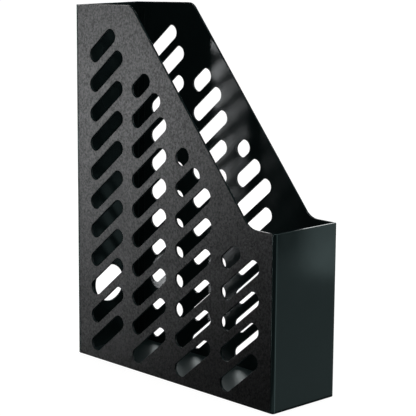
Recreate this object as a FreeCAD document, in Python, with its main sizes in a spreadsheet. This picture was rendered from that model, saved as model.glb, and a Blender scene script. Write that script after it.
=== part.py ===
import FreeCAD, Part
import os
import Sketcher

# A magazine file holder: a tall open box for magazines and A4 folders, cut away towards
# its low front. Its frame has X across the width, Y from the low front (-Y) to the tall
# back (+Y) and Z up. The origin is on the ground, under the middle of the box.
#
# The box is five panels. The front and the back are shallow channels, which turn the
# upright corners. The slotted sides lap onto them, and the floor has a tongue all round
# that sits in a groove near the foot of all four walls.

doc = FreeCAD.newDocument("magazine_holder")

# ---------------------------------------------------------------- driving dimensions (mm)

SIZES = {
    # overall
    "width": 73.5,
    "depth": 248,
    "height": 320,
    "back_height": 317.2,
    "front_height": 148.7,
    "wall": 2,
    # outline of the side panels: the top edge, the slope, and the ledge in front of it
    "top_length": 74,
    "ledge_length": 29.2,
    "brow_radius": 12,
    "foot_radius": 15,
    # channels at the front and the back, and the laps that hold the sides to them
    "corner_radius": 2.5,
    "seam_setback": 3.2,
    "lap_length": 8,
    "lap_foot": 6,
    "lap_head": 5,
    "lap_depth": 1,
    "fit_gap": 0.15,
    # floor and the groove that holds it
    "floor_thickness": 2,
    "tongue_bottom": 0.6,
    "tongue_thickness": 0.8,
    "groove_depth": 1,
    "groove_gap": 0.05,
    # slots, and the land that they leave to each edge; a slot's length is between centres
    "slot_angle": 39.5,
    "slot_length": 39.5,
    "slot_radius": 6.65,
    "slot_column_pitch": 55.6,
    "slot_row_pitch": 26.1,
    "slot_back_land": 19.75,
    "slot_foot_land": 7.15,
    "slot_front_land": 14,
    "slot_slope_land": 20.6,
    "slot_top_land": 21.5,
    "shortest_slot": 2,
    # finger hole in the back
    "finger_radius": 17,
    "finger_height": 60,
    # softened edges
    "rim_round": 0.35,
    "slot_round": 0.3,
    "foot_round": 0.8,
}

sheet = doc.addObject("Spreadsheet::Sheet", "Sizes")
for line, (name, size) in enumerate(SIZES.items(), start=1):
    sheet.set(f"A{line}", name)
    sheet.set(f"B{line}", str(size))
    sheet.setAlias(f"B{line}", name)
doc.recompute()


def cells(text):
    """A formula in plain names, with each name turned into its cell of the sheet."""
    words = []
    word = ""
    for letter in text + " ":
        if letter.isalnum() or letter == "_":
            word += letter
            continue
        words.append("Sizes." + word if word in SIZES else word)
        words.append(letter)
        word = ""
    return "".join(words).strip()


def size(text):
    """The number that a formula gives with the sheet as it is."""
    return float(sheet.evalExpression(cells(text)))


def bind(thing, prop, text):
    thing.setExpression(prop, cells(text))


# ---------------------------------------------------------------- sketch and feature helpers

def new_body(label, x="0", y="0", z="0"):
    """An empty body whose own origin stands at x, y, z."""
    body = doc.addObject("PartDesign::Body", label)
    body.Label = label
    for axis, text in zip("xyz", (x, y, z)):
        bind(body, f"Placement.Base.{axis}", text)
    return body


def origin_part(body, role):
    return [part for part in body.Origin.OriginFeatures if part.Role == role][0]


def new_sketch(body, name, plane, offset="0"):
    """A sketch on one of the body's own planes, moved along that plane's normal."""
    sketch = body.newObject("Sketcher::SketchObject", name)
    sketch.AttachmentSupport = [(origin_part(body, plane), "")]
    sketch.MapMode = "FlatFace"
    bind(sketch, "AttachmentOffset.Base.z", offset)
    return sketch


def fix(sketch, kind, *what):
    """A dimension of the sketch, bound to a formula."""
    *places, text = what
    number = sketch.addConstraint(Sketcher.Constraint(kind, *places, size(text)))
    bind(sketch, f"Constraints[{number}]", text)


def fix_point(sketch, edge, end, across, up):
    fix(sketch, "DistanceX", -1, 1, edge, end, across)
    fix(sketch, "DistanceY", -1, 1, edge, end, up)


def draw_outline(sketch, corners):
    """A closed outline of straight edges, each corner given as two formulas."""
    points = [FreeCAD.Vector(size(across), size(up), 0) for across, up in corners]
    edges = []
    for start, end in zip(points, points[1:] + points[:1]):
        edges.append(sketch.addGeometry(Part.LineSegment(start, end)))
    for edge, after in zip(edges, edges[1:] + edges[:1]):
        sketch.addConstraint(Sketcher.Constraint("Coincident", edge, 2, after, 1))
    for edge, (across, up) in zip(edges, corners):
        fix_point(sketch, edge, 1, across, up)


def draw_box(sketch, left, low, right, high):
    draw_outline(sketch, [(left, low), (right, low), (right, high), (left, high)])


def draw_slot(sketch, across, up, length):
    """A slot with round ends that climbs to the front from its lower end."""
    radius = size("slot_radius")
    run = f"({length}) * cos(slot_angle)"
    rise = f"({length}) * sin(slot_angle)"
    low = FreeCAD.Vector(size(across), size(up), 0)
    along = FreeCAD.Vector(-size(run), size(rise), 0)
    high = low + along
    side = FreeCAD.Vector(along.y, -along.x, 0).normalize() * radius
    ahead = FreeCAD.Vector(along).normalize() * radius
    low_arc = sketch.addGeometry(Part.Arc(low - side, low - ahead, low + side))
    upper = sketch.addGeometry(Part.LineSegment(low + side, high + side))
    high_arc = sketch.addGeometry(Part.Arc(high + side, high + ahead, high - side))
    lower = sketch.addGeometry(Part.LineSegment(high - side, low - side))
    ring = [low_arc, upper, high_arc, lower]
    ends = {}
    for edge in ring:
        ends[edge] = [sketch.getPoint(edge, 1), sketch.getPoint(edge, 2)]
    for edge, after in zip(ring, ring[1:] + ring[:1]):
        pairs = [(p, q) for p in (0, 1) for q in (0, 1)]
        p, q = min(pairs, key=lambda pq: (ends[edge][pq[0]] - ends[after][pq[1]]).Length)
        sketch.addConstraint(Sketcher.Constraint("Tangent", edge, p + 1, after, q + 1))
    fix_point(sketch, low_arc, 3, across, up)
    fix_point(sketch, high_arc, 3, f"{across} - {run}", f"{up} + {rise}")
    fix(sketch, "Radius", low_arc, "slot_radius")
    fix(sketch, "Radius", high_arc, "slot_radius")


def draw_circle(sketch, across, up, radius):
    centre = FreeCAD.Vector(size(across), size(up), 0)
    ring = sketch.addGeometry(Part.Circle(centre, FreeCAD.Vector(0, 0, 1), size(radius)))
    fix_point(sketch, ring, 3, across, up)
    fix(sketch, "Radius", ring, radius)


def pad(body, sketch, length, backwards=False):
    feature = body.newObject("PartDesign::Pad", sketch.Name + "_pad")
    feature.Profile = sketch
    feature.Reversed = backwards
    bind(feature, "Length", length)
    doc.recompute()
    return feature


def pocket(body, sketch, length, backwards=False):
    """Cuts the sketch into the body, and makes sure that something was cut."""
    before = body.Shape.Volume
    feature = body.newObject("PartDesign::Pocket", sketch.Name + "_pocket")
    feature.Profile = sketch
    feature.Reversed = backwards
    bind(feature, "Length", length)
    doc.recompute()
    if not body.Shape.Volume < before - 1e-3:
        raise RuntimeError(f"{feature.Name} cuts nothing")
    return feature


def round_edges(body, name, radius, wanted):
    """Rounds every edge of the body, as it is so far, that the test picks."""
    base = body.Tip
    picked = [f"Edge{i}" for i, edge in enumerate(base.Shape.Edges, start=1) if wanted(edge)]
    feature = body.newObject("PartDesign::Fillet", name)
    feature.Base = (base, picked)
    bind(feature, "Radius", radius)
    doc.recompute()
    print(f"{body.Label}: {name} on {len(picked)} edges")
    return feature


def lies_at(edge, axis, place):
    """True if the whole edge lies in the plane where one coordinate has this value."""
    box = edge.BoundBox
    low = getattr(box, axis + "Min")
    high = getattr(box, axis + "Max")
    return abs(low - place) < 1e-4 and abs(high - place) < 1e-4


def is_round(edge, radius):
    """True for an edge that is a circle, or part of one, of this radius."""
    if edge.Degenerated or not isinstance(edge.Curve, Part.Circle):
        return False
    return abs(edge.Curve.Radius - size(radius)) < 1e-6


# ---------------------------------------------------------------- places that panels share

SEAM = "(depth / 2 - seam_setback)"      # a side panel ends here, and a channel begins
SLOPE_TOP = "(depth / 2 - top_length)"
SLOPE_FOOT = "(ledge_length - depth / 2)"
STEEPNESS = f"((height - front_height) / ({SLOPE_TOP} - {SLOPE_FOOT}))"


def cut_floor_groove(body, x="0", y="0"):
    """The groove for the floor's tongue, in whatever wall a body placed at x, y has there."""
    reach_x = "(width / 2 - wall + groove_depth)"
    reach_y = "(depth / 2 - wall + groove_depth)"
    sketch = new_sketch(body, body.Label + "_groove", "XY_Plane", "tongue_bottom - groove_gap")
    draw_box(sketch, f"-{reach_x} - {x}", f"-{reach_y} - {y}",
             f"{reach_x} - {x}", f"{reach_y} - {y}")
    pocket(body, sketch, "tongue_thickness + 2 * groove_gap", backwards=True)


# ---------------------------------------------------------------- side panels

def slot_place(column, row):
    """Where the lower end of a slot has its centre. Column 0 is the rearmost, row 0 the lowest."""
    across = f"(depth / 2 - slot_back_land - slot_radius - {column} * slot_column_pitch)"
    up = f"(slot_foot_land + slot_radius + {row} * slot_row_pitch)"
    return across, up


def slot_reach(column, row):
    """How far a slot can climb before it comes too near to the edge of its panel.

    The panel has an inward corner where the slope meets the front's top edge, so a slot may
    climb as far as the further of those two edges lets it.
    """
    across, up = slot_place(column, row)
    slope_line = f"(height + ({across} - {SLOPE_TOP}) * {STEEPNESS})"
    land_above = f"((slot_slope_land + slot_radius) * sqrt(1 + {STEEPNESS} ^ 2))"
    approach = f"(sin(slot_angle) + {STEEPNESS} * cos(slot_angle))"
    to_slope = f"({slope_line} - {up} - {land_above}) / {approach}"
    to_front = f"(front_height - slot_slope_land - slot_radius - {up}) / sin(slot_angle)"
    to_top = f"(height - slot_top_land - slot_radius - {up}) / sin(slot_angle)"
    return f"min(slot_length; max({to_slope}; {to_front}); {to_top})"


def slot_columns():
    """How many columns of slots fit between the back land and the front land."""
    columns = 0
    while True:
        across, _ = slot_place(columns, 0)
        front_end = f"{across} - slot_length * cos(slot_angle) - slot_radius"
        if size(f"{front_end} + depth / 2 - slot_front_land") < 0:
            return columns
        columns += 1


def slots_in_column(column):
    """How many whole slots a column has, and the rows above them that have a short one."""
    whole = 0
    while size(slot_reach(column, whole)) >= size("slot_length") - 1e-9:
        whole += 1
    short = []
    while size(slot_reach(column, whole + len(short))) >= size("shortest_slot"):
        short.append(whole + len(short))
    return whole, short


def is_slot_edge(edge):
    """True for the edges of a slot: round ends, or straight at the slots' own angle."""
    if is_round(edge, "slot_radius"):
        return True
    box = edge.BoundBox
    return abs(box.ZLength - box.YLength * size("tan(slot_angle)")) < 1e-6 and box.YLength > 0.1


def side_panel(label, side):
    """A flat slotted side. side is -1 at -X and 1 at +X; the outer face is at local X = 0."""
    left = side < 0
    place = f"{side} * width / 2"
    inner_face = f"{-side} * wall"
    body = new_body(label, x=place)

    sketch = new_sketch(body, label + "_outline", "YZ_Plane")
    draw_outline(sketch, [
        (SEAM, "0"),
        (SEAM, "back_height"),
        (SLOPE_TOP, "height"),
        (SLOPE_FOOT, "front_height"),
        ("-" + SEAM, "front_height"),
        ("-" + SEAM, "0"),
    ])
    pad(body, sketch, "wall", backwards=not left)

    def brow(edge):
        return lies_at(edge, "Y", size(SLOPE_TOP)) and lies_at(edge, "Z", size("height"))

    def foot(edge):
        return lies_at(edge, "Y", size(SLOPE_FOOT)) and lies_at(edge, "Z", size("front_height"))

    def rim(edge):
        if lies_at(edge, "Z", 0):
            return False
        at_seam = lies_at(edge, "Y", size(SEAM)) or lies_at(edge, "Y", -size(SEAM))
        inside = lies_at(edge, "X", size(inner_face)) and not at_seam
        return inside or lies_at(edge, "X", 0)

    round_edges(body, label + "_brow", "brow_radius", brow)
    round_edges(body, label + "_slope_foot", "foot_radius", foot)
    round_edges(body, label + "_rim", "rim_round", rim)

    short_slots = []
    for column in range(slot_columns()):
        whole, short = slots_in_column(column)
        short_slots += [(column, row) for row in short]
        if not whole:
            continue
        sketch = new_sketch(body, f"{label}_column_{column + 1}", "YZ_Plane")
        draw_slot(sketch, *slot_place(column, 0), "slot_length")
        first = pocket(body, sketch, "wall", backwards=left)
        if whole > 1:
            rows = body.newObject("PartDesign::LinearPattern", f"{label}_rows_{column + 1}")
            rows.Originals = [first]
            rows.Direction = (sketch, ["V_Axis"])
            bind(rows, "Length", f"{whole - 1} * slot_row_pitch")
            rows.Occurrences = whole
            body.Tip = rows
            doc.recompute()
    if short_slots:
        sketch = new_sketch(body, label + "_short_slots", "YZ_Plane")
        for column, row in short_slots:
            draw_slot(sketch, *slot_place(column, row), slot_reach(column, row))
        pocket(body, sketch, "wall", backwards=left)
    round_edges(body, label + "_slot_edges", "slot_round",
                lambda edge: lies_at(edge, "X", 0) and is_slot_edge(edge))
    round_edges(body, label + "_foot_edge", "foot_round",
                lambda edge: lies_at(edge, "X", 0) and lies_at(edge, "Z", 0))

    for end, sign, high in (("front", "-", "front_height"), ("back", "", "back_height")):
        sketch = new_sketch(body, f"{label}_{end}_lap", "YZ_Plane", inner_face)
        draw_box(sketch, f"{sign}({SEAM} - lap_length)", "lap_foot",
                 f"{sign}({SEAM} + lap_length)", f"{high} - lap_head")
        pocket(body, sketch, "lap_depth", backwards=not left)
    cut_floor_groove(body, x=place)
    return body


# ---------------------------------------------------------------- front and back channels

def end_channel(label, end, high):
    """A shallow channel across one end: -1 is the front, 1 the back; outer face at local Y = 0."""
    place = f"{end} * depth / 2"
    body = new_body(label, y=place)

    def inward(distance):
        return f"{-end} * ({distance})"

    half = "(width / 2)"
    inner = "(width / 2 - wall)"
    sketch = new_sketch(body, label + "_profile", "XY_Plane")
    draw_outline(sketch, [
        (f"-{half}", "0"),
        (half, "0"),
        (half, inward("seam_setback")),
        (inner, inward("seam_setback")),
        (inner, inward("wall")),
        (f"-{inner}", inward("wall")),
        (f"-{inner}", inward("seam_setback")),
        (f"-{half}", inward("seam_setback")),
    ])
    pad(body, sketch, high)

    def upright(edge, across, depth):
        at_x = lies_at(edge, "X", size(across)) or lies_at(edge, "X", -size(across))
        return at_x and lies_at(edge, "Y", size(depth))

    def rim(edge):
        at_seam = lies_at(edge, "Y", size(inward("seam_setback")))
        return lies_at(edge, "Z", size(high)) and not at_seam

    def foot_edge(edge):
        if not lies_at(edge, "Z", 0):
            return False
        if is_round(edge, "corner_radius"):
            return True
        middle = edge.BoundBox.Center
        return abs(middle.y) < 1e-4 or abs(abs(middle.x) - size(half)) < 1e-4

    round_edges(body, label + "_corners", "corner_radius",
                lambda edge: upright(edge, half, "0"))
    round_edges(body, label + "_inner_corners", "corner_radius - wall",
                lambda edge: upright(edge, inner, inward("wall")))
    round_edges(body, label + "_rim", "rim_round", rim)
    round_edges(body, label + "_foot_edge", "foot_round", foot_edge)
    round_edges(body, label + "_seam_edges", "rim_round",
                lambda edge: upright(edge, half, inward("seam_setback")))
    cut_floor_groove(body, y=place)

    for name, sign in (("left", "-"), ("right", "")):
        sketch = new_sketch(body, f"{label}_{name}_tongue", "XY_Plane", "lap_foot + fit_gap")
        draw_box(sketch, f"{sign}{inner}", inward("seam_setback"),
                 f"{sign}({inner} + lap_depth)",
                 inward("seam_setback + lap_length - fit_gap"))
        pad(body, sketch, f"{high} - lap_head - lap_foot - 2 * fit_gap")
    return body


def back_wall():
    """The tall back channel, with a round hole near its foot for a finger to pull it by."""
    body = end_channel("back_wall", 1, "back_height")
    sketch = new_sketch(body, "finger_hole", "XZ_Plane")
    draw_circle(sketch, "0", "finger_height", "finger_radius")
    pocket(body, sketch, "wall", backwards=True)
    round_edges(body, "finger_hole_edges", "rim_round",
                lambda edge: is_round(edge, "finger_radius"))
    return body


# ---------------------------------------------------------------- floor

def floor_panel():
    """A plate that fits between the walls, with the tongue that their groove holds."""
    body = new_body("floor_panel")
    half_x = "(width / 2 - wall)"
    half_y = "(depth / 2 - wall)"
    sketch = new_sketch(body, "floor_plate", "XY_Plane")
    draw_box(sketch, f"-{half_x}", f"-{half_y}", half_x, half_y)
    pad(body, sketch, "floor_thickness")
    round_edges(body, "floor_corners", "corner_radius - wall",
                lambda edge: edge.BoundBox.XLength + edge.BoundBox.YLength < 1e-4)

    tongue_x = "(width / 2 - wall + groove_depth - fit_gap)"
    tongue_y = "(depth / 2 - wall + groove_depth - fit_gap)"
    sketch = new_sketch(body, "floor_tongue", "XY_Plane", "tongue_bottom")
    draw_box(sketch, f"-{tongue_x}", f"-{tongue_y}", tongue_x, tongue_y)
    pad(body, sketch, "tongue_thickness")
    round_edges(body, "floor_tongue_corners", "corner_radius - wall + groove_depth",
                lambda edge: abs(abs(edge.BoundBox.Center.x) - size(tongue_x)) < 1e-4
                and edge.BoundBox.XLength + edge.BoundBox.YLength < 1e-4)
    return body


# ---------------------------------------------------------------- the whole holder

panels = [
    side_panel("side_panel_left", -1),
    side_panel("side_panel_right", 1),
    end_channel("front_wall", -1, "front_height"),
    back_wall(),
    floor_panel(),
]
doc.recompute()

for thing in doc.Objects:
    if "Invalid" in thing.State or "Error" in thing.State:
        raise RuntimeError(f"{thing.Name} did not compute")
for panel in panels:
    if panel.Shape.isNull() or not panel.Shape.isValid() or len(panel.Shape.Solids) != 1:
        raise RuntimeError(f"{panel.Label} is not one valid solid")

os.makedirs("parts", exist_ok=True)
for panel in panels:
    panel.Shape.exportStep(f"parts/{panel.Label}.step")
    print(f"{panel.Label}: {panel.Shape.Volume / 1000:.1f} cm3, {panel.Shape.BoundBox}")
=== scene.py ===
# %% [markdown]
# # A magazine file holder in black plastic
#
# The real object is a tall open box that stands on a shelf and keeps magazines upright. Its
# two sides are cut away along a slope, and each has rows of slanting slots. The outside of
# the sides has a fine grain, cast from a mould whose steel was eaten by sparks, while the
# front, the back and the inside are smooth and satin.
#
# The frame already holds every panel in its true shape. So this lesson is about finish:
# how one black plastic can read as two surfaces, how light picks out its edges, and how to
# place a camera and lamps for a very dark object on a white ground.

# %% Load the frame
import math

import bpy
from mathutils import Matrix, Vector


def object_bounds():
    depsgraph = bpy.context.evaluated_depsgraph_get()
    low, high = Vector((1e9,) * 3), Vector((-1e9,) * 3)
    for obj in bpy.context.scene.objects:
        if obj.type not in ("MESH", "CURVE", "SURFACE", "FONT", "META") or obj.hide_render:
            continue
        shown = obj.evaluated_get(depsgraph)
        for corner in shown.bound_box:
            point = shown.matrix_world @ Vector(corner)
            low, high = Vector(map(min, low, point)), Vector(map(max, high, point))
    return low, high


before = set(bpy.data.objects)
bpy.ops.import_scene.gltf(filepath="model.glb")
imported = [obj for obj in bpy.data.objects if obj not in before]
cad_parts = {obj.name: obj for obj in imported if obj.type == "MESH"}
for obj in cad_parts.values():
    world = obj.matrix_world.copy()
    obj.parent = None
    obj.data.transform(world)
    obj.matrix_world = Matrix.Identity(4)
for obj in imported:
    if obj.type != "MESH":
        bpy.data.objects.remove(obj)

cad_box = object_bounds()
print("panels:", ", ".join(sorted(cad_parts)))
print("whole holder, mm:", [round(1000 * (high - low), 1) for low, high in zip(*cad_box)])

# %% [markdown]
# ## Reading sizes off the frame
#
# A lamp, a camera or a mask that is tied to the object's own size stays right when the
# object changes. So the scene takes what it can from the frame's overall box: where the
# camera looks, where most lamps should show, and how far out the outer faces of the sides
# lie. The grain is put only where a point lies on those faces.

# %% Sizes that the scene needs
low_corner, high_corner = (Vector(corner) for corner in cad_box)
width, depth, height = high_corner - low_corner
middle = (low_corner + high_corner) / 2
outer_face = high_corner.x
millimetre = 0.001
WHITE = (1.0, 1.0, 1.0, 1.0)

print("outer faces of the sides at X = +/-", round(outer_face, 5))

# %% [markdown]
# ## Small helpers for node trees
#
# Each finish is a web of shader nodes. Wiring them one by one is long, so five helpers do
# it: one adds a node and sets its values, one makes a node group with named sockets, one
# does a single sum, one stretches a range of values, and one makes noise of a given size.
# A group is made once and placed in several materials, each with its own numbers.

# %% Helpers for nodes
def add_node(tree, kind, settings=None, **values):
    """Adds a node. settings are its own options, values are its input sockets."""
    node = tree.nodes.new(kind)
    for name, value in (settings or {}).items():
        setattr(node, name, value)
    for name, value in values.items():
        socket = node.inputs[name.replace("_", " ")]
        if isinstance(value, bpy.types.NodeSocket):
            tree.links.new(value, socket)
        else:
            socket.default_value = value
    return node


def make_group(name, inputs, outputs):
    """An empty node group, with its input and output nodes."""
    tree = bpy.data.node_groups.new(name, "ShaderNodeTree")
    for socket, kind, value in inputs:
        made = tree.interface.new_socket(socket, in_out="INPUT", socket_type=kind)
        if value is not None:
            made.default_value = value
    for socket, kind in outputs:
        tree.interface.new_socket(socket, in_out="OUTPUT", socket_type=kind)
    return tree, tree.nodes.new("NodeGroupInput"), tree.nodes.new("NodeGroupOutput")


def arithmetic(tree, operation, first, second=None, clamp=False):
    """One sum of two numbers or sockets."""
    node = tree.nodes.new("ShaderNodeMath")
    node.operation = operation
    node.use_clamp = clamp
    for place, value in enumerate((first, second)):
        if value is None:
            continue
        if isinstance(value, bpy.types.NodeSocket):
            tree.links.new(value, node.inputs[place])
        else:
            node.inputs[place].default_value = value
    return node.outputs[0]


def ramp(tree, value, start, end, to_min=0.0, to_max=1.0):
    """Stretches the part of a value between start and end to a new range, clamped."""
    node = add_node(tree, "ShaderNodeMapRange", {"clamp": True}, Value=value)
    node.inputs["From Min"].default_value = start
    node.inputs["From Max"].default_value = end
    node.inputs["To Min"].default_value = to_min
    node.inputs["To Max"].default_value = to_max
    return node.outputs["Result"]


def noise(tree, place, feature, detail=2.0, roughness=0.5):
    """Noise whose blobs are about one feature size across, in metres."""
    node = add_node(tree, "ShaderNodeTexNoise", Vector=place, Detail=detail,
                    Roughness=roughness)
    node.inputs["Scale"].default_value = 1.0 / feature
    return node.outputs["Fac"]


# %% [markdown]
# ## The grain group
#
# A sparked mould leaves a skin of tiny rounded pits. Two layers of noise make it: pits of
# under two millimetres that can be seen from across a desk, and a finer tooth that only
# shows as softness in the highlight. The group gives their sum as a height for a bump, and
# the pits alone as a shade, because the floor of a pit catches less light than its rim.
#
# A picture of the texture would need unwrapping and would stretch at the rims. Noise in the
# object's own space has the same size everywhere and needs neither.

# %% Grain group
PIT_SIZE = 1.8 * millimetre
TOOTH_SIZE = 0.35 * millimetre
PIT_SHARE = 0.8

grain_group, grain_in, grain_out = make_group(
    "sparked grain",
    [("Place", "NodeSocketVector", None)],
    [("Height", "NodeSocketFloat"), ("Shade", "NodeSocketFloat")],
)
pits = noise(grain_group, grain_in.outputs["Place"], PIT_SIZE, detail=3.0, roughness=0.6)
tooth = noise(grain_group, grain_in.outputs["Place"], TOOTH_SIZE, detail=1.0)
deep_pits = ramp(grain_group, pits, 0.34, 0.66)
pit_height = arithmetic(grain_group, "MULTIPLY", deep_pits, PIT_SHARE)
tooth_height = arithmetic(grain_group, "MULTIPLY", tooth, 1 - PIT_SHARE)
grain_sum = arithmetic(grain_group, "ADD", pit_height, tooth_height)
grain_group.links.new(grain_sum, grain_out.inputs["Height"])
grain_group.links.new(deep_pits, grain_out.inputs["Shade"])
print("grain group nodes:", len(grain_group.nodes))

# %% [markdown]
# ## The satin group
#
# The smooth walls aren't perfect either. Plastic that flows into a mould cools in faint
# clouds, and hands leave soft patches that are a little shinier or duller. One slow noise
# stands for the clouds and one for the handling, and a very fine one keeps the highlight
# from looking like glass.

# %% Satin group
SKIN_SIZE = 0.5 * millimetre
CLOUD_SIZE = 45 * millimetre
TOUCH_SIZE = 16 * millimetre

satin_group, satin_in, satin_out = make_group(
    "satin skin",
    [("Place", "NodeSocketVector", None)],
    [("Height", "NodeSocketFloat"), ("Cloud", "NodeSocketFloat"), ("Touch", "NodeSocketFloat")],
)
satin_place = satin_in.outputs["Place"]
skin = noise(satin_group, satin_place, SKIN_SIZE, detail=1.0)
slow_noise = noise(satin_group, satin_place, CLOUD_SIZE, detail=3.0)
cloud = ramp(satin_group, slow_noise, 0.3, 0.7)
patch_noise = noise(satin_group, satin_place, TOUCH_SIZE, detail=4.0, roughness=0.65)
touch = ramp(satin_group, patch_noise, 0.42, 0.72)
satin_group.links.new(skin, satin_out.inputs["Height"])
satin_group.links.new(cloud, satin_out.inputs["Cloud"])
satin_group.links.new(touch, satin_out.inputs["Touch"])
print("satin group nodes:", len(satin_group.nodes))

# %% [markdown]
# ## The edge group
#
# Every rim of a used holder is rubbed by the files that go in and out, which lifts its black
# to a dark grey. That grey is partly wear and partly painted sheen: a lighter colour that
# stands in for the highlight along an edge. The rubbing also polishes the rims of the smooth
# panels, while those of the grained sides stay dull. The Bevel node rounds the surface normal
# near an edge. So where the rounded normal parts from the true one, there is an edge, and the
# angle between the two makes a mask. A little noise breaks the line up, since wear is never
# even.

# %% Edge group
RUB_REACH = 0.6 * millimetre
RUB_SIZE = 6 * millimetre

edge_group, edge_in, edge_out = make_group(
    "rubbed edges and painted sheen",
    [("Place", "NodeSocketVector", None), ("Reach", "NodeSocketFloat", RUB_REACH)],
    [("Edge", "NodeSocketFloat")],
)
rounded = add_node(edge_group, "ShaderNodeBevel", {"samples": 6},
                   Radius=edge_in.outputs["Reach"]).outputs["Normal"]
true_normal = edge_group.nodes.new("ShaderNodeNewGeometry").outputs["Normal"]
parting = edge_group.nodes.new("ShaderNodeVectorMath")
parting.operation = "DOT_PRODUCT"
edge_group.links.new(rounded, parting.inputs[0])
edge_group.links.new(true_normal, parting.inputs[1])
edge_mask = ramp(edge_group, parting.outputs["Value"], 0.995, 0.86)
rub_noise = noise(edge_group, edge_in.outputs["Place"], RUB_SIZE, detail=4.0)
rub = ramp(edge_group, rub_noise, 0.35, 0.6, 0.35, 1.0)
edge_group.links.new(arithmetic(edge_group, "MULTIPLY", edge_mask, rub), edge_out.inputs["Edge"])
print("edge group nodes:", len(edge_group.nodes))

# %% [markdown]
# ## The dust group
#
# Dust settles on what faces up: the floor inside, and the tops of the walls. The mask is
# the upward part of the surface normal, times a fine speckle that gathers in drifts.

# %% Dust group
SPECK_SIZE = 0.7 * millimetre
DRIFT_SIZE = 22 * millimetre

dust_group, dust_in, dust_out = make_group(
    "settled dust",
    [("Place", "NodeSocketVector", None)],
    [("Dust", "NodeSocketFloat")],
)
facing = dust_group.nodes.new("ShaderNodeSeparateXYZ")
dust_group.links.new(dust_group.nodes.new("ShaderNodeNewGeometry").outputs["Normal"],
                     facing.inputs[0])
upward = ramp(dust_group, facing.outputs["Z"], 0.7, 0.98)
speck_noise = noise(dust_group, dust_in.outputs["Place"], SPECK_SIZE, detail=2.0)
specks = ramp(dust_group, speck_noise, 0.56, 0.74)
drift_noise = noise(dust_group, dust_in.outputs["Place"], DRIFT_SIZE, detail=3.0)
drift = ramp(dust_group, drift_noise, 0.35, 0.7, 0.15, 1.0)
drifted_specks = arithmetic(dust_group, "MULTIPLY", specks, drift)
settled = arithmetic(dust_group, "MULTIPLY", upward, drifted_specks)
dust_group.links.new(settled, dust_out.inputs["Dust"])
print("dust group nodes:", len(dust_group.nodes))

# %% [markdown]
# ## Two plastics from one
#
# Both finishes are the same black polystyrene, so both start from one function: a
# Principled shader with a dark, slightly cool base, whose colour, roughness and bump come
# from the groups. The smooth finish is used on the front and the back. The floor has the
# same one, but rougher, since magazines scuff it. The grained one adds the grain only where
# a point lies on an outer face, and leaves the inside of the same panel smooth.
#
# What tells grain from a smooth skin at arm's length is that its reflection is speckled: the
# rims of the pits shine and their floors don't. So the grained plastic reflects less by
# itself and has a coat, whose weight follows the pits. Changing the roughness instead would
# look like fibres, because it changes the shape of each glint and not only its strength.
#
# The reflections are tinted a little, blue-green on the smooth skin and nearly white on the
# grain. Real plastic reflects white, so this is a liberty taken for the look.

# %% Black plastic
BLACK = (0.0100, 0.0180, 0.0185, 1.0)
BLACK_CLOUDED = (0.0120, 0.0210, 0.0215, 1.0)
# painted sheen and wear: the grey that every rim is lifted to
WEAR_AND_SHEEN_GREY = (0.060, 0.063, 0.065, 1.0)
DUST = (0.20, 0.195, 0.185, 1.0)
GRAIN_FLOOR = (0.0040, 0.0042, 0.0045, 1.0)
GRAIN_RIM = (0.0130, 0.0133, 0.0140, 1.0)
SATIN_TINT = (0.66, 1.0, 1.0, 1.0)
GRAIN_TINT = (0.92, 0.96, 1.0, 1.0)
POLYSTYRENE_IOR = 1.55
SATIN_ROUGHNESS = 0.13
SCUFFED_ROUGHNESS = 0.38
GRAIN_ROUGHNESS = 0.17
COAT_ROUGHNESS = 0.36
GRAIN_REFLECTION = 0.3
GRAIN_DEPTH = 0.25 * millimetre
GRAIN_BUMP = 0.5
SKIN_DEPTH = 0.05 * millimetre
SKIN_BUMP = 0.10
TOUCH_DULLING = 0.05
GRAIN_STARTS = outer_face - 0.25 * millimetre
GRAIN_FULL = outer_face - 0.05 * millimetre
DUST_STRENGTH = 0.4
DUST_DULLING = 0.4


def place_group(tree, group, **values):
    """Puts a group into a material. values are the group's own inputs."""
    return add_node(tree, "ShaderNodeGroup", {"node_tree": group}, **values)


def blend_colours(tree, amount, first, second):
    """Goes from the first colour to the second one as amount goes from 0 to 1."""
    node = tree.nodes.new("ShaderNodeMix")
    node.data_type = "RGBA"
    tree.links.new(amount, node.inputs["Factor"])
    for place, value in ((6, first), (7, second)):
        if isinstance(value, bpy.types.NodeSocket):
            tree.links.new(value, node.inputs[place])
        else:
            node.inputs[place].default_value = value
    return node.outputs[2]


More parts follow.
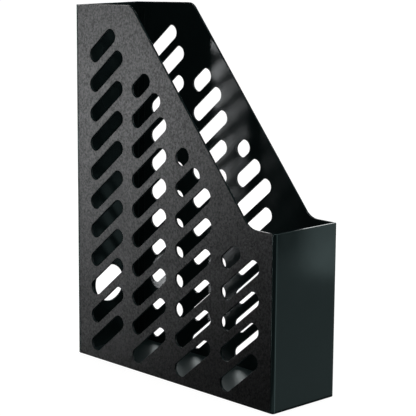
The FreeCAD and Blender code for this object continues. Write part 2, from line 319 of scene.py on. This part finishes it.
def plastic(name, grained, satin_roughness=SATIN_ROUGHNESS):
    """The black plastic. grained says whether the outer faces of the sides carry grain."""
    material = bpy.data.materials.new(name)
    material.use_nodes = True
    tree = material.node_tree
    tree.nodes.clear()
    place = tree.nodes.new("ShaderNodeTexCoord").outputs["Object"]
    # an edge of the grained skin is dulled, one of the smooth skin is polished and greyed more;
    # the grey is wear and painted sheen
    edge_dulling = 0.20 if grained else -0.06
    edge_wear_and_sheen = 0.25 if grained else 0.55
    satin = place_group(tree, satin_group, Place=place)
    edge = place_group(tree, edge_group, Place=place).outputs["Edge"]
    dust = place_group(tree, dust_group, Place=place).outputs["Dust"]

    colour = blend_colours(tree, satin.outputs["Cloud"], BLACK, BLACK_CLOUDED)
    dulling = arithmetic(tree, "MULTIPLY", satin.outputs["Touch"], TOUCH_DULLING)
    roughness = arithmetic(tree, "ADD", dulling, satin_roughness)
    skin_bump = add_node(tree, "ShaderNodeBump", Strength=SKIN_BUMP,
                         Height=satin.outputs["Height"])
    skin_bump.inputs["Distance"].default_value = SKIN_DEPTH
    normal = skin_bump.outputs["Normal"]

    if grained:
        grain = place_group(tree, grain_group, Place=place)
        across = tree.nodes.new("ShaderNodeSeparateXYZ")
        tree.links.new(place, across.inputs[0])
        outward = arithmetic(tree, "ABSOLUTE", across.outputs["X"])
        on_face = ramp(tree, outward, GRAIN_STARTS, GRAIN_FULL)
        grain_colour = blend_colours(tree, grain.outputs["Shade"], GRAIN_FLOOR, GRAIN_RIM)
        colour = blend_colours(tree, on_face, colour, grain_colour)
        grain_height = arithmetic(tree, "MULTIPLY", grain.outputs["Height"], on_face)
        grain_bump = add_node(tree, "ShaderNodeBump", Strength=GRAIN_BUMP, Height=grain_height,
                              Normal=normal)
        grain_bump.inputs["Distance"].default_value = GRAIN_DEPTH
        normal = grain_bump.outputs["Normal"]
        grain_roughness = arithmetic(tree, "MULTIPLY", on_face, GRAIN_ROUGHNESS)
        roughness = arithmetic(tree, "ADD", roughness, grain_roughness)
        rim_shine = arithmetic(tree, "MULTIPLY", on_face, grain.outputs["Shade"])

    # painted sheen and wear: the rims' colour is lifted from black towards grey
    wear_and_sheen = arithmetic(tree, "MULTIPLY", edge, edge_wear_and_sheen)
    colour = blend_colours(tree, wear_and_sheen, colour, WEAR_AND_SHEEN_GREY)
    edge_roughness = arithmetic(tree, "MULTIPLY", edge, edge_dulling)
    roughness = arithmetic(tree, "ADD", roughness, edge_roughness)
    dusting = arithmetic(tree, "MULTIPLY", dust, DUST_STRENGTH)
    colour = blend_colours(tree, dusting, colour, DUST)
    dust_roughness = arithmetic(tree, "MULTIPLY", dusting, DUST_DULLING)
    roughness = arithmetic(tree, "ADD", roughness, dust_roughness, clamp=True)

    shader = add_node(tree, "ShaderNodeBsdfPrincipled", Base_Color=colour, Roughness=roughness,
                      Normal=normal, IOR=POLYSTYRENE_IOR)
    shader.inputs["Specular Tint"].default_value = GRAIN_TINT if grained else SATIN_TINT
    if grained:
        shader.inputs["Specular IOR Level"].default_value = GRAIN_REFLECTION
        shader.inputs["Coat Roughness"].default_value = COAT_ROUGHNESS
        shader.inputs["Coat IOR"].default_value = POLYSTYRENE_IOR
        tree.links.new(rim_shine, shader.inputs["Coat Weight"])
    output = tree.nodes.new("ShaderNodeOutputMaterial")
    tree.links.new(shader.outputs["BSDF"], output.inputs["Surface"])
    return material


grained_plastic = plastic("grained black plastic", grained=True)
satin_plastic = plastic("satin black plastic", grained=False)
floor_plastic = plastic("satin black plastic, inside floor", grained=False,
                        satin_roughness=SCUFFED_ROUGHNESS)
print("finishes:", grained_plastic.name, "|", satin_plastic.name, "|", floor_plastic.name)

# %% [markdown]
# ## Dressing the panels
#
# The panels stay exactly as the frame gives them. A finish is put on by swapping the
# material in each slot of a panel's mesh.

# %% Put the finishes on
FINISHES = {
    "side_panel_left": grained_plastic,
    "side_panel_right": grained_plastic,
    "front_wall": satin_plastic,
    "back_wall": satin_plastic,
    "floor_panel": floor_plastic,
}
for node, finish in FINISHES.items():
    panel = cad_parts[node]
    if not panel.material_slots:
        panel.data.materials.append(finish)
    for slot in panel.material_slots:
        slot.material = finish
    print(f"{node}: {finish.name}, {len(panel.data.polygons)} faces")

# %% [markdown]
# ## Camera
#
# The holder is seen from its left front, from a little above its top, through a long lens
# that keeps its upright edges nearly parallel. The camera is placed by an angle around the
# middle of the box, an angle above it and a distance. Then it moves a little sideways and
# down, which frames the holder, and rolls by less than half a degree. It comes before the
# lamps, because on a black object the lamps are placed by what the camera sees in it.

# %% Camera
AROUND = math.radians(-43.73)
ABOVE = math.radians(10.87)
ROLL = math.radians(0.398)
AWAY = 1.378
LENS = 138.8
SIDESTEP = 0.00565
DROP = 0.01194

look_at = Vector((middle.x, middle.y, height / 2))
backward = Vector((math.sin(AROUND) * math.cos(ABOVE), -math.cos(AROUND) * math.cos(ABOVE),
                   math.sin(ABOVE)))
level_right = Vector((0, 0, 1)).cross(backward).normalized()
level_up = backward.cross(level_right)
right = level_right * math.cos(ROLL) + level_up * math.sin(ROLL)
up = backward.cross(right)
camera_place = look_at + backward * AWAY + right * SIDESTEP - up * DROP
camera_data = bpy.data.cameras.new("camera")
camera_data.lens = LENS
camera_data.sensor_width = 36.0
camera = bpy.data.objects.new("camera", camera_data)
bpy.context.collection.objects.link(camera)
pose = Matrix((right, up, backward)).transposed().to_4x4()
pose.translation = camera_place
camera.matrix_world = pose
bpy.context.scene.camera = camera
bpy.context.scene.view_settings.view_transform = "Standard"
print("camera at", [round(value, 3) for value in camera_place])

# %% [markdown]
# ## Ground
#
# The holder stands on a white sheet. A sheet lit by lamps goes grey far away from them, and
# a bright one throws so much light back that the black plastic turns grey. So the camera
# sees a sheet that mostly shines by itself, with a little shading left where the holder
# stands, while all other light meets a plain dimmer one. The sheet is kept out of the
# reflections.

# %% Ground
GROUND_SIZE = 60.0
GLOW = 0.92
SHADED_GREY = (0.2, 0.2, 0.2, 1.0)
LIT_GREY = (0.3, 0.3, 0.3, 1.0)

bpy.ops.mesh.primitive_plane_add(size=GROUND_SIZE, location=(0, 0, low_corner.z))
ground = bpy.context.object
ground.name = "ground"
ground_paper = bpy.data.materials.new("white paper ground")
ground_paper.use_nodes = True
paper = ground_paper.node_tree
paper.nodes.clear()
is_seen = paper.nodes.new("ShaderNodeLightPath").outputs["Is Camera Ray"]
lit_sheet = add_node(paper, "ShaderNodeBsdfDiffuse", Color=LIT_GREY)
bright_sheet = add_node(paper, "ShaderNodeEmission", Color=WHITE, Strength=GLOW)
shaded_sheet = add_node(paper, "ShaderNodeBsdfDiffuse", Color=SHADED_GREY)
both_sheets = paper.nodes.new("ShaderNodeAddShader")
paper.links.new(bright_sheet.outputs[0], both_sheets.inputs[0])
paper.links.new(shaded_sheet.outputs[0], both_sheets.inputs[1])
ground_mix = paper.nodes.new("ShaderNodeMixShader")
paper.links.new(is_seen, ground_mix.inputs["Fac"])
paper.links.new(lit_sheet.outputs[0], ground_mix.inputs[1])
paper.links.new(both_sheets.outputs[0], ground_mix.inputs[2])
paper_output = paper.nodes.new("ShaderNodeOutputMaterial")
paper.links.new(ground_mix.outputs[0], paper_output.inputs["Surface"])
ground.data.materials.append(ground_paper)
ground.visible_glossy = False
print("ground:", GROUND_SIZE, "m across")

# %% [markdown]
# ## Sky
#
# Three skies in one: pure white for the camera, a dim one that fills the shadows, and a
# dimmer one yet for reflections, since a bright sky mirrored in black plastic would hide
# its black.

# %% Sky
world = bpy.data.worlds.new("studio")
bpy.context.scene.world = world
world.use_nodes = True
sky = world.node_tree
sky.nodes.clear()
ray = sky.nodes.new("ShaderNodeLightPath").outputs
seen = add_node(sky, "ShaderNodeBackground", Color=WHITE, Strength=1.0)
felt = add_node(sky, "ShaderNodeBackground", Color=WHITE, Strength=0.08)
mirrored = add_node(sky, "ShaderNodeBackground", Color=WHITE, Strength=0.02)
either = sky.nodes.new("ShaderNodeMixShader")
sky.links.new(ray["Is Glossy Ray"], either.inputs["Fac"])
sky.links.new(felt.outputs[0], either.inputs[1])
sky.links.new(mirrored.outputs[0], either.inputs[2])
any_ray = sky.nodes.new("ShaderNodeMixShader")
sky.links.new(ray["Is Camera Ray"], any_ray.inputs["Fac"])
sky.links.new(either.outputs[0], any_ray.inputs[1])
sky.links.new(seen.outputs[0], any_ray.inputs[2])
sky.links.new(any_ray.outputs[0], sky.nodes.new("ShaderNodeOutputWorld").inputs["Surface"])
print("sky nodes:", len(sky.nodes))

# %% [markdown]
# ## Lamp helpers
#
# A black object on white needs a lot of care, because what is seen on it is mostly the
# lamps' own reflections. So most lamps are placed by the mirror rule: where on a panel
# should the lamp show, which way does the panel face there, and how far off does the lamp
# stand? A near lamp gives a small patch with a clear edge, a far one washes the whole panel.

# %% Lamp helpers
def lamp(name, place, aim, size_across, size_up, brightness):
    """A soft rectangular lamp at place that looks at aim. brightness is that of its face."""
    data = bpy.data.lights.new(name, "AREA")
    data.shape = "RECTANGLE"
    data.size = size_across
    data.size_y = size_up
    data.energy = brightness * size_across * size_up * math.pi
    made = bpy.data.objects.new(name, data)
    bpy.context.collection.objects.link(made)
    made.location = place
    made.rotation_euler = (Vector(aim) - Vector(place)).to_track_quat("-Z", "Y").to_euler()
    made.visible_camera = False
    print(f"{name}: {data.energy:.2f} W at", [round(value, 2) for value in made.location])


def mirror_lamp(name, spot, normal, away, size_across, size_up, brightness):
    """A lamp whose reflection shows at a spot on a panel, as seen by the camera."""
    facing = Vector(normal).normalized()
    to_camera = (camera_place - Vector(spot)).normalized()
    bounce = facing * (2 * facing.dot(to_camera)) - to_camera
    lamp(name, Vector(spot) + bounce * away, spot, size_across, size_up, brightness)


def front_turned(degrees):
    """The way the front faces, turned to the right by an angle, as on its rounded corners."""
    angle = math.radians(degrees)
    return (math.sin(angle), -math.cos(angle), 0)


# %% [markdown]
# ## Lamps
#
# A broad sun from straight overhead lights the ground and the rims. A tall narrow lamp
# washes the grained side. A small near lamp gives the front wall a soft patch. Three more
# are there only for edges: the front wall's top rim, the rounded corner beside the seam,
# and the far front corner. Two aren't placed by the mirror rule, because they only lift
# the black a little: a dim card that lies on the ground in front, and a fill lamp.

# %% Lamps
overhead = bpy.data.lights.new("overhead sun", "SUN")
overhead.energy = 1.6
overhead.angle = math.radians(50)
bpy.context.collection.objects.link(bpy.data.objects.new("overhead sun", overhead))

side_spot = (low_corner.x, 0.306 * depth, 0.569 * height)
mirror_lamp("side lamp", side_spot, (-1, 0, 0), away=0.9,
            size_across=0.05, size_up=0.54, brightness=20.5)
front_spot = (0.571 * width, low_corner.y, 0.453 * height)
mirror_lamp("front lamp", front_spot, front_turned(0), away=0.32,
            size_across=0.075, size_up=0.10, brightness=0.6)
rim_spot = (middle.x, 0.97 * low_corner.y, 0.463 * height)
mirror_lamp("rim lamp", rim_spot, (0, 0, 1), away=1.0,
            size_across=1.1, size_up=0.35, brightness=2.2)
seam_spot = (0.95 * low_corner.x, low_corner.y, 0.25 * height)
mirror_lamp("seam lamp", seam_spot, front_turned(-12), away=1.0,
            size_across=0.5, size_up=0.9, brightness=0.7)
far_corner_spot = (0.97 * high_corner.x, low_corner.y, 0.375 * height)
mirror_lamp("far corner lamp", far_corner_spot, front_turned(20), away=1.0,
            size_across=0.25, size_up=0.5, brightness=0.8)

card_place = Vector((0.30, -0.33, 0.002))
lamp("ground card", card_place, card_place + Vector((0, 0, 1)),
     size_across=0.75, size_up=0.42, brightness=0.21)
lamp("fill lamp", (1.0, -1.3, 0.7), (0.0, -0.1, 0.1),
     size_across=1.0, size_up=1.0, brightness=1.0)
